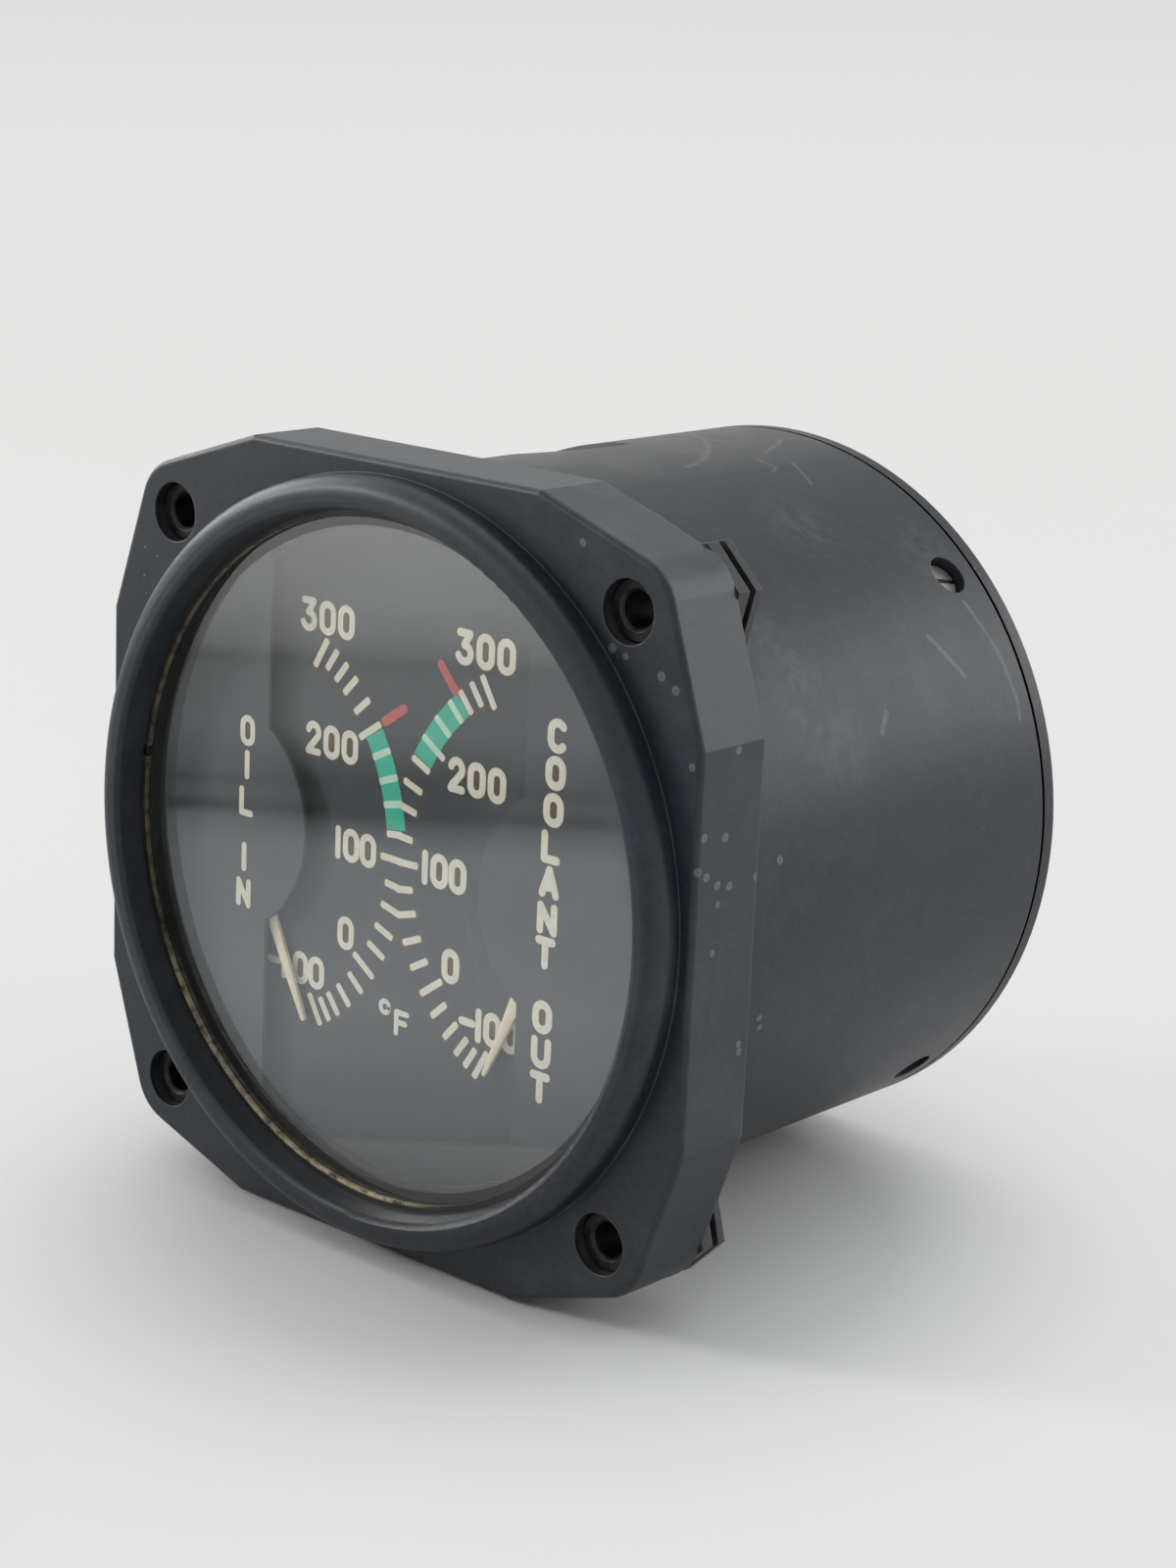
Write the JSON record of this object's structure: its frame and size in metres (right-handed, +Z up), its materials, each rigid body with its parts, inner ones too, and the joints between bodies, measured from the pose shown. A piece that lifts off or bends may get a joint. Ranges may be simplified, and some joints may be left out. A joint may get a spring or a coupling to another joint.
{
  "type": "dual temperature gauge",
  "caption": "Square-flanged round aircraft panel gauge with two facing pointers on one dial, flange nuts, a barrel case and a rear receptacle.",
  "frame": {"origin": "centre of the front face of the flange, on the axis of the barrel", "axes": "+Y rearward along the barrel, the dial faces -Y, +Z up, +X to the right of the dial"},
  "size_m": [0.0822, 0.0832, 0.0822],
  "materials": {
    "case_black": "satin black moulding, worn",
    "brass": "dull",
    "glass": "clear, dusty",
    "rubber": "matt",
    "dial_black": "matt black",
    "pointer_cream": "aged luminous cream",
    "steel": "dull",
    "magnet": "ground",
    "aluminium": "satin",
    "phenolic": "satin brown",
    "copper": "enamelled wire",
    "resistor": "lacquered",
    "insert_metal": "blackened, worn"
  },
  "bodies": {
    "case": {"case_body": "case_black", "retaining_ring": "brass", "cover_glass": "glass", "glass_gasket": "rubber", "oil_mask": "dial_black", "coolant_mask": "dial_black", "mask_spacer": "dial_black", "dial_plate": "dial_black", "movement_plate": "aluminium", "movement_screws": "steel", "front_bearings": "brass", "rear_bearings": "brass", "bridge_plate": "aluminium", "bridge_pillars": "brass", "bridge_screws": "steel", "oil_bobbin_front": "phenolic", "oil_bobbin_rear": "phenolic", "oil_inner_coil": "copper", "oil_outer_coil": "copper", "coolant_bobbin_front": "phenolic", "coolant_bobbin_rear": "phenolic", "coolant_inner_coil": "copper", "coolant_outer_coil": "copper", "terminal_board": "phenolic", "board_standoffs": "brass", "board_screws": "steel", "resistors": "resistor", "coil_leads": "copper", "connector_leads": "copper", "rear_cover": "case_black", "cover_seal": "rubber", "cover_screws": "steel", "mount_inserts": "insert_metal", "connector_shell": "aluminium", "connector_insulator": "phenolic", "connector_pins": "brass", "connector_screws": "steel"},
    "oil_movement": {"oil_pointer": "pointer_cream", "oil_staff": "steel", "oil_magnet": "magnet"},
    "coolant_movement": {"coolant_pointer": "pointer_cream", "coolant_staff": "steel", "coolant_magnet": "magnet"}
  },
  "joints": [
    {"name": "oil_pointer_turn", "type": "hinge", "parent": "case", "child": "oil_movement", "pos_m": [-0.02316, 0, 0], "axis": [0, -1, 0], "range_deg": [0, 123]},
    {"name": "coolant_pointer_turn", "type": "hinge", "parent": "case", "child": "coolant_movement", "pos_m": [0.02316, 0, 0], "axis": [0, 1, 0], "range_deg": [0, 123]}
  ]
}
